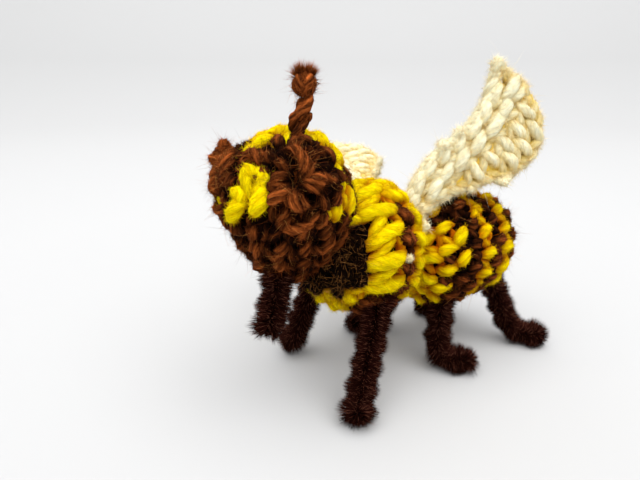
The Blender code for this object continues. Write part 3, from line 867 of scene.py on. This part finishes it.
# ---------------- eyes
EYE_EDGES = (35, 62, 90)  # of the rounds about the rosette, in degrees
EYE_SINK = 1.5  # how far an eye's stitches run on into the head
PETALS = 10
PETAL_RINGS = np.radians((7, 16, 24, 32, 40))
PETAL_HEIGHTS = np.array([-1.3, -0.3, 0.1, -0.1, -1.3])
PETAL_RADIUS = 1.05
PETAL_SWIRL = 0.3
PETAL_SPREAD, PETAL_UNEVENNESS = 0.2, 0.4
PETAL_LENGTHS, PETAL_THICKNESSES = (0.8, 1.2), (0.8, 1.15)
LIP_RING = math.radians(60)  # one fat strand that runs along under the rosette
LIP_HALF_TURN = 0.6
LIP_HEIGHTS = np.array([-1.2, 0.2, 0.5, 0.2, -1.2])
LIP_RADIUS = 1.0
LIP_SAMPLES = 60


def off_head(points):
    return HEAD.height(points) > -EYE_SINK


def lay_petals(ball, strands):
    """The rosette in the middle: one fat strand for each stitch of the first round."""
    around = 2 * np.pi * (np.arange(PETALS) + RNG.normal(0, PETAL_SPREAD, PETALS)) / PETALS
    swirl = PETAL_SWIRL + RNG.normal(0, PETAL_UNEVENNESS, (PETALS, 1))
    ring = PETAL_RINGS * RNG.uniform(*PETAL_LENGTHS, (PETALS, 1))
    knots = ball.at(ring, around[:, None] + swirl * np.linspace(-1, 1, KNOTS),
                    PETAL_HEIGHTS + RNG.normal(0, PETAL_UNEVENNESS, (PETALS, 1)))
    up = ball.up(np.full(PETALS, 0.5), around)
    strands.lay(knots, PETAL_RADIUS * RNG.uniform(*PETAL_THICKNESSES, PETALS), up, BROWN_YARN)


def lay_lip(ball, strands):
    """One strand on the eye's lowest side, just outside the rosette."""
    turn = np.linspace(-np.pi, np.pi, LIP_SAMPLES)
    rim = ball.at(np.full(LIP_SAMPLES, LIP_RING), turn, np.zeros(LIP_SAMPLES))
    lowest = turn[np.argmin(rim[:, 2])]
    turn = lowest + LIP_HALF_TURN * np.linspace(-1, 1, KNOTS)
    strands.lay_on(ball, LIP_RING, turn[None], LIP_HEIGHTS, LIP_RADIUS, BROWN_YARN)


def build_eye(side_name):
    ball = EYES[side_name]
    strands = Strands()
    lay_petals(ball, strands)
    crochet_rounds(ball, EYE_EDGES, (), strands, off_head, width=4.2, most=12, loose=2.2)
    lay_lip(ball, strands)
    core = ball_core(ball, EYE_CORE_DEPTH, CORE_PAINTED_SHADES["eye"], rings=12, around=24)
    build_crochet("eye_" + side_name, "yarn_brown", ball, strands, core, deep=-0.5, top=1.15,
                  count=7500, length=0.8, strays=0.2, tangle=0.7)


# ---------------- wings
WING_FACE = 1.5  # nominal half thickness of the crochet
WING_CORE = 0.8
WING_POINT = 0.002  # the least part of the length that is reckoned with, at either end
WING_PILLOW = 2.5  # the faces curve in over this much of each edge
WING_ROWS = (  # distance from the front edge, pitch, heading in degrees, size
    (2.5, 3.9, 8, 1.0), (5.6, 4.3, 14, 1.12), (9.0, 4.0, 118, 0.95), (12.4, 4.0, 122, 0.95),
    (15.4, 4.0, 120, 0.9))
WING_ROW_WIDTH, WING_ROW_START = 3.7, 1.5
WING_OVERLAP = 1.12  # of a stitch's length with the next in its row
WING_REAR_MARGIN = 3.4
WING_EDGE_PARTS = (0.0, 0.4, 0.5, 0.6, 1.0)  # of the way round the outline
WING_EDGE_INSETS = (1.2, 1.2, 2.6, 1.8, 1.5)  # of the edge's rope there
WING_EDGE_RISE, WING_EDGE_SLOPE = 1.2, 0.7  # the height that stands for being by the edge, which keeps painted shade off the edge rope
# height added towards the front edge, which paints the front rows lighter
WING_FRONT_PAINTED_LIGHT = 0.5
WING_FACE_END = 4.2  # the faces' stitches stop this far short of the tip
WING_EDGE_SAMPLES, WING_EDGE_POINTS = 200, 120
WING_EDGE_ROPE = {"girth": 0.55, "pitch": 3.6, "link": 4.4, "radius": 1.1}
WING_CORE_RINGS, WING_CORE_SIDES = 30, 32
WING_CORE_ENDS = (1.0, 4.5)  # the core stops this far from the root and from the tip
WING_CORE_INSET, WING_CORE_LEAST = 3.2, 0.3  # and from the edges, and its least half width


class Leaf:
    """One face of a wing. u runs from the root to the tip and v rearwards, in millimetres."""

    def __init__(self, root, along, rearward, side):
        self.root, self.along, self.side = np.array(root), unit(np.array(along)), side
        rearward = np.array(rearward)
        self.rearward = unit(rearward - (rearward @ self.along) * self.along)
        self.normal = np.cross(self.along, self.rearward)

    def edges(self, u):
        """The front and the rear edge at a distance from the root."""
        part = np.clip(u / WING_LENGTH, WING_POINT, 1 - WING_POINT)
        swell = np.sin(0.5 * np.pi * np.minimum(1.0, part / WING_WIDEST)) ** 2
        full = WING_HALF_ROOT + (WING_HALF_WIDTH - WING_HALF_ROOT) * swell
        half = full * (2 * np.sqrt(part * (1 - part))) ** WING_BLUNTNESS
        middle = full + WING_TIP_LEAN * (half - full) - WING_FRONT - WING_SWAY * np.sin(2 * np.pi * part)
        return middle - half, middle + half

    def at(self, u, v, height):
        front, rear = self.edges(u)
        inside = np.clip(np.minimum(v - front, rear - v) / WING_PILLOW, 0.0, 1.0)
        depth = self.side * (WING_FACE * np.sqrt(inside * (2 - inside)) + height)
        return (self.root + u[..., None] * self.along + v[..., None] * self.rearward
                + depth[..., None] * self.normal)

    def up(self, u, v):
        return np.broadcast_to(self.side * self.normal, u.shape + (3,))

    def metric(self, u, v):
        return np.ones_like(u), np.ones_like(v)

    def height(self, points):
        """How far points stand out of the wing, through a face or over an edge, and most in front, where
        painted light makes the front rows lighter.
        """
        local = points - self.root
        u, across = local @ self.along, local @ self.rearward
        front, rear = self.edges(u)
        edge = np.minimum(np.minimum(across - front, rear - across), WING_LENGTH - u)
        front_light = WING_FRONT_PAINTED_LIGHT * (1.0 - np.clip((across - front) / (2 * WING_HALF_WIDTH), 0.0, 1.0))
        return np.maximum(np.abs(local @ self.normal) - WING_FACE,
                          WING_EDGE_RISE - WING_EDGE_SLOPE * edge) + front_light

    def unwrap(self, points):
        local = points - self.root
        return np.stack([0.05 + 0.9 * (local @ self.along) / WING_LENGTH,
                         0.3 + 0.03 * (local @ self.rearward)], -1)


def lay_wing_face(leaf, strands):
    for inset, pitch, heading, size in WING_ROWS:
        u = np.arange(WING_ROW_START + 0.5 * pitch * RNG.random(), WING_LENGTH - WING_FACE_END, pitch)
        front, rear = leaf.edges(u)
        v = front + inset
        held = rear - v > (WING_REAR_MARGIN if inset > WING_ROWS[0][0] else 0.0)
        lay_stitches(leaf, u[held], v[held], WING_OVERLAP * pitch, WING_ROW_WIDTH,
                     np.full(held.sum(), CREAM_YARN), strands, math.radians(heading), size=size)


def lay_wing_edge(leaf, strands):
    """One rope of stitches from the root along the front edge, round the tip and back."""
    u = WING_LENGTH * np.sin(np.linspace(0, 0.5 * np.pi, WING_EDGE_SAMPLES))
    front, rear = leaf.edges(u)
    outline = np.concatenate([np.stack([u, front], 1), np.stack([u, rear], 1)[::-1]])
    along = stations(outline)
    even = np.linspace(0.0, along[-1], WING_EDGE_POINTS)
    outline = sample(even, along, outline)
    travel = unit(np.gradient(outline, axis=0))
    inward = np.stack([-travel[:, 1], travel[:, 0]], 1)
    outline += np.interp(even / along[-1], WING_EDGE_PARTS, WING_EDGE_INSETS)[:, None] * inward
    to_frame = np.stack([leaf.along, leaf.rearward])
    line = leaf.root + outline @ to_frame
    lay_rope(line, inward @ to_frame, np.broadcast_to(leaf.normal, line.shape), CREAM_YARN, strands,
             **WING_EDGE_ROPE)


def wing_core(leaf):
    """The inner layer of a wing, in the cream yarn's painted shade colour: one flat closed tube, for
    Piece.add.
    """
    u = np.linspace(WING_CORE_ENDS[0], WING_LENGTH - WING_CORE_ENDS[1], WING_CORE_RINGS)
    front, rear = leaf.edges(u)
    half = np.maximum(0.5 * (rear - front) - WING_CORE_INSET, WING_CORE_LEAST)
    line = leaf.root + u[:, None] * leaf.along + (0.5 * (front + rear))[:, None] * leaf.rearward
    angle = full_turn(WING_CORE_SIDES)
    thin = np.minimum(half, WING_CORE)[:, None]
    radii = half[:, None] * thin / np.hypot(thin * np.cos(angle), half[:, None] * np.sin(angle))
    return Sweep(line[None], radii[None], leaf.rearward[None]).plain(CREAM_PAINTED_SHADE)


def build_wing(name):
    faces = [Leaf(*WINGS[name], side) for side in (1.0, -1.0)]
    strands = Strands()
    for leaf in faces:
        lay_wing_face(leaf, strands)
    lay_wing_edge(faces[0], strands)
    build_crochet(name, "yarn_cream", faces[0], strands, wing_core(faces[0]), deep=-1.1, top=1.2,
                  count=36000, length=1.9, strays=0.006, rise=0.3, tangle=0.9)


# ---------------- antennae
ANTENNA_PITCH = 3.6
ANTENNA_LINK = 5.0
ANTENNA_GIRTHS = {"left": (0.9, 1.0, 1.0, 0.8), "right": (0.5, 0.4, 0.4, 0.4)}
ANTENNA_STEM_END = {"left": 0.74, "right": 0.95}  # of the path's length
ANTENNA_KNOTS = {  # where along the path, offset and half size
    "left": ((0.82, (0.0, 0.0, 0.0), 2.15), (0.44, (0.6, 1.0, 0.0), 1.0)),
    "right": ((0.62, (0.0, 0.0, 1.0), 1.4), (0.92, (0.4, 0.3, -0.4), 1.5)),
}
ANTENNA_RADIUS = 0.95  # of its yarn
ANTENNA_POINTS = 40
ANTENNA_SIDE = (0.3, 1.0, 0.1)  # any direction well away from both antennae's
FRAY_COUNT = 700
FRAY_LENGTH = 1.9
FRAY_SPREAD = 0.55
FRAY_AIM, FRAY_ROOT, FRAY_BEND = 0.4, 0.35, 0.25  # the spread's share in each
FRAY_SPLIT = np.array([0.2, 0.344, 0.0])  # half the way between the two ends
FRAY_LENGTHS, FRAY_TONES = (0.35, 1.0), (0.3, 1.0)
FRAY_START, FRAY_LEVEL = 0.85, 0.8  # how far out on the knot the tuft starts, and how high
STEM_RISE, STEM_DEPTH = 0.25, 2.2  # what stands for a stem's height, which sets its painted shade, rises from this depth


class Stem:
    """A thick line of yarn, with painted shade where it leaves the head."""

    def __init__(self, points):
        self.foot, self.low, self.size = points[0], points.min(0), np.ptp(points, axis=0).max()

    def height(self, points):
        """What stands in for the height, which sets the painted shade: it rises from the head outwards."""
        return STEM_RISE * np.linalg.norm(points - self.foot, axis=-1) - STEM_DEPTH

    def unwrap(self, points):
        return 0.1 + 0.6 * (points - self.low)[:, :2] / self.size


def grow_fray(centre, size, stem):
    """The cut ends of the yarn, teased out in a tuft on top of the left antenna."""
    spread = RNG.normal(0, FRAY_SPREAD, (FRAY_COUNT, 3))
    split = np.where(RNG.random((FRAY_COUNT, 1)) < 0.5, -1, 1) * FRAY_SPLIT
    up = np.array([0.0, 0.0, 1.0])
    direction = unit(up + split + FRAY_AIM * spread)
    root = centre + FRAY_START * size * unit(FRAY_LEVEL * up + split + FRAY_ROOT * spread)
    length = FRAY_LENGTH * RNG.uniform(*FRAY_LENGTHS, FRAY_COUNT)
    tone = np.array(BROWN) * RNG.uniform(*FRAY_TONES, (FRAY_COUNT, 1))
    piece = Piece("fray_antenna_left")
    # the roots at 0.3 of the tips' tone are painted shade inside the tuft
    make_spikes(piece, root, direction, FRAY_BEND * spread, length, RNG.uniform(*FIBRE_WIDTHS, FRAY_COUNT),
                0.3 * tone, tone, stem.unwrap(root), rings=2)
    finish_piece(piece.build([FUZZ]), "yarn_brown")


def build_antenna(side_name):
    path = smooth_paths([ANTENNA_PATHS[side_name]], ANTENNA_POINTS)[0]
    tangent = unit(np.gradient(path, axis=0))
    side = unit(np.cross(tangent, ANTENNA_SIDE))
    up = np.cross(tangent, side)
    part = np.linspace(0, 1, len(path))
    rope = part <= ANTENNA_STEM_END[side_name]
    girths = np.interp(part[rope] / part[rope][-1], np.linspace(0, 1, 4), ANTENNA_GIRTHS[side_name])
    strands = Strands()
    lay_rope(path[rope], side[rope], up[rope], BROWN_YARN, strands, girths, ANTENNA_PITCH,
             ANTENNA_LINK, ANTENNA_RADIUS)
    knots = [(path[round(place * (len(path) - 1))] + offset, size)
             for place, offset, size in ANTENNA_KNOTS[side_name]]
    for centre, size in knots:
        lay_knot(centre, size, strands)
    stem = Stem(path)
    build_crochet("antenna_" + side_name, "yarn_brown", stem, strands, None, deep=-2.2, top=-0.2,
                  count=5000, length=1.0)
    if side_name == "left":
        grow_fray(*knots[0], stem)


# ---------------- chenille stems
PILE_DENSITY = 560  # fibres to a millimetre of stem
PILE_ROOT = 0.9
PILE_CORE = 1.3
PILE_POINTS, PILE_SIDES = 48, 10
PILE_LEAD = np.array([[0.0, 1.0, 0.3]])  # any direction well away from the stems'
BEND_POINTS = 9
PILE_SHORT_END = 0.8  # the wire ends this far short of the foot's length
PILE_END_REACH = 0.55  # of the pile that turns towards the end
PILE_PITCH = 4.4  # of the stem's twist
PILE_BAND = 0.12  # how much the twist thins the pile between its ridges
PILE_REACH = 1.2  # of the stem's nominal radius
PILE_TOE_REACH = 1.15  # how much longer the pile is at the toe
# the pile is painted in shade at its roots and on its wire, and has its own colour at the tips
PILE_PAINTED_SHADE = np.array([0.004, 0.001, 0.0006])
PILE_TIP = np.array([0.027, 0.006, 0.0038])
PILE_GLINT = np.array([0.36, 0.13, 0.08])  # the colour of the few tips that catch the light
PILE_GLINTS = 0.17
PILE_LENGTHS, PILE_TONES, PILE_WIDTHS = (0.8, 1.06), (0.3, 1.7), (0.11, 0.19)
PILE_FAN, PILE_TILT = 0.14, 0.09  # how unevenly the fibres lean along the stem and around it
TOE_LENGTH = 2.2
TOE_SWELL = (5.0, 2.0)  # the pile gets longer between these distances from the end
FLOOR_GAP = 0.06  # the tips' least height
TOE_FAN = math.radians(80)  # how far the last of the pile turns towards the end


def leg_path(hip, ankle, heading, foot):
    """Straight down from the hip, round the ankle's bend and out along the floor to the toe."""
    hip, corner = np.array(hip), np.array([*ankle, STEM_RADIUS - SOLE_DEPTH])
    heading = math.radians(heading)
    out = np.array([math.cos(heading), math.sin(heading), 0.0])
    start = corner + ANKLE_BEND * unit(hip - corner)
    end = corner + min(ANKLE_BEND, FOOT_BEND_LIMIT * foot) * out
    t = np.linspace(0, 1, BEND_POINTS)[:, None]
    shank = hip + (start - hip) * t[:-1]
    bend = start * (1 - t) ** 2 + corner * 2 * t * (1 - t) + end * t ** 2
    return np.concatenate([shank, bend, [corner + (foot - PILE_SHORT_END) * out]])


def build_pile(name, points):
    """A stem: its wire, and the pile that stands out from it, turning with its twist."""
    station = stations(points)
    full = station[-1]
    even = np.linspace(0, full, PILE_POINTS)
    line = sample(even, station, points)
    core = Sweep(line[None], np.full((1, PILE_POINTS, PILE_SIDES), PILE_CORE), PILE_LEAD)
    piece = Piece("pile_" + name)
    # the wire, darker still with painted shade inside the pile
    piece.add(*core.plain(PILE_PAINTED_SHADE * 0.7))
    count = int(PILE_DENSITY * full)
    along, angle = RNG.uniform(0, full, count), RNG.uniform(0, 2 * np.pi, count)
    middle, tangent, side = (sample(along, even, values) for values in (
        line, core.tangent[0, :, 0], core.outward[0, :, 0]))
    outward = unit(turned(side, np.cross(tangent, side), angle))
    toe = smoothstep(full - TOE_LENGTH, full, along)
    fan = RNG.normal(0, PILE_FAN, count) + TOE_FAN * toe * RNG.random(count) ** 0.7
    direction = (turned(outward, PILE_END_REACH * tangent, fan)
                 + RNG.normal(0, PILE_TILT, (count, 1)) * np.cross(tangent, outward))
    band = 1.0 - PILE_BAND * (1.0 + np.cos(2 * angle - 2 * np.pi * along / PILE_PITCH))
    reach = PILE_REACH * STEM_RADIUS * band * RNG.uniform(*PILE_LENGTHS, count)
    reach *= 1.0 + (PILE_TOE_REACH - 1.0) * smoothstep(full - TOE_SWELL[0], full - TOE_SWELL[1], along)
    root = middle + PILE_ROOT * outward
    tip = middle + reach[:, None] * direction
    tip[:, 2] = np.maximum(tip[:, 2], FLOOR_GAP)
    high = PILE_TIP * RNG.uniform(*PILE_TONES, (count, 1))
    high = np.where(RNG.random((count, 1)) < PILE_GLINTS, PILE_GLINT * RNG.random((count, 1)), high)
    place = 0.02 + 0.95 * np.stack([along / full, angle / (2 * np.pi)], -1)
    make_spikes(piece, root, unit(tip - root), np.zeros_like(root), np.linalg.norm(tip - root, axis=1),
                RNG.uniform(*PILE_WIDTHS, count), np.broadcast_to(PILE_PAINTED_SHADE, root.shape), high, place)
    finish_piece(piece.build([CHENILLE]), "chenille_brown", name)


# ---------------- camera, floor and light
FLOOR_REACH = 0.6
SWEEP_BEND = 1.2
SWEEP_SIDES, SWEEP_STEPS = 96, 24
FLOOR_PAINTED_FALLOFF = (0.15, 1.1)  # metres from the bee over which the floor's colour darkens: a painted falloff of the light
FLOOR_PAINTED_LIGHT_TONES = (0.51, 0.35)
FLOOR_ROUGHNESS, FLOOR_GLOSS = 0.7, 0.5
CAMERA_PLACE = np.array([73.2, -42.6, 63.0])
CAMERA_HEADING, CAMERA_LIFT = 239.4, -19.1  # where it looks, in degrees, as heading_vector has them
CAMERA_LENS, CAMERA_SENSOR = 26.0, 36.0  # millimetres
CAMERA_CLIP = 0.005  # metres
SKY, SKY_LIGHT, SKY_SEEN = (0.98, 0.985, 1.0, 1.0), 0.78, 0.88
SOFTBOX_AIM, SOFTBOX_ANGLE, SOFTBOX_ENERGY = (-0.45, 0.3, -1.0), math.radians(90.0), 4.8


def aim(obj, forward):
    """Turn a camera or a lamp, which faces its own -Z, to face forward."""
    obj.rotation_euler = Vector(forward).to_track_quat("-Z", "Y").to_euler()


def build_camera():
    camera = bpy.data.cameras.new("camera")
    camera.lens, camera.sensor_width, camera.clip_start = CAMERA_LENS, CAMERA_SENSOR, CAMERA_CLIP
    obj = add_object("camera", camera)
    obj.location = (CAMERA_PLACE + SHIFT) * MM
    aim(obj, heading_vector(CAMERA_HEADING, CAMERA_LIFT))
    bpy.context.scene.camera = obj


def build_world():
    """Pale to look at, and dimmer as a light, so that the bee keeps its shading."""
    world = bpy.data.worlds.new("studio")
    bpy.context.scene.world = world
    world.use_nodes = True
    tree = world.node_tree
    seen = tree.nodes.new("ShaderNodeLightPath").outputs["Is Camera Ray"]
    background = tree.nodes["Background"]
    background.inputs["Color"].default_value = SKY
    tree.links.new(ramp(tree, seen, 0.0, 1.0, SKY_LIGHT, SKY_SEEN), background.inputs["Strength"])


def build_floor(tree, shader):
    # painted light: the floor's colour is palest under the bee and darker further out
    distance = node(tree, "ShaderNodeVectorMath", "LENGTH",
                    in_0=tree.nodes.new("ShaderNodeTexCoord").outputs["Object"]).outputs["Value"]
    tree.links.new(ramp(tree, distance, *FLOOR_PAINTED_FALLOFF, *FLOOR_PAINTED_LIGHT_TONES), shader.inputs["Base Color"])


def build_sweep():
    """A studio sweep: a round floor that curves up into a low wall far behind the bee."""
    turn = full_turn(SWEEP_SIDES)
    rise = np.linspace(0, 0.5 * np.pi, SWEEP_STEPS)
    reach = np.concatenate([[FLOOR_REACH * 0.5], FLOOR_REACH + SWEEP_BEND * np.sin(rise)])
    level = np.concatenate([[0.0], SWEEP_BEND * (1 - np.cos(rise))])
    verts = np.stack(np.broadcast_arrays(reach[:, None] * np.cos(turn), reach[:, None] * np.sin(turn),
                                         level[:, None]), -1).reshape(-1, 3)
    index = np.arange(len(verts)).reshape(len(reach), SWEEP_SIDES)
    after = np.roll(index, -1, axis=1)
    walls = np.stack([index[:-1], after[:-1], after[1:], index[1:]], -1).reshape(-1, 4)
    mesh = bpy.data.meshes.new("floor")
    mesh.from_pydata(verts.tolist(), [], [index[0][::-1].tolist()] + walls.tolist())
    mesh.shade_smooth()
    mesh.materials.append(new_material("floor", build_floor, FLOOR_ROUGHNESS, FLOOR_GLOSS))
    floor = add_object("floor", mesh)


def build_stage():
    build_sweep()
    build_world()
    sun = bpy.data.lights.new("softbox", "SUN")
    sun.angle, sun.energy = SOFTBOX_ANGLE, SOFTBOX_ENERGY
    aim(add_object("softbox", sun), SOFTBOX_AIM)
    bpy.context.scene.view_settings.view_transform = "Standard"


build_camera()
build_stage()
build_bodies()
for eye_side in EYES:
    build_eye(eye_side)
for wing_name in WINGS:
    build_wing(wing_name)
for antenna_side in ANTENNA_PATHS:
    build_antenna(antenna_side)
for leg_name, (hip, ankle, heading, foot) in LEGS.items():
    build_pile(leg_name, leg_path(hip, ankle, heading, foot))
build_pile("proboscis", smooth_paths([PROBOSCIS_PATH], BEND_POINTS)[0])
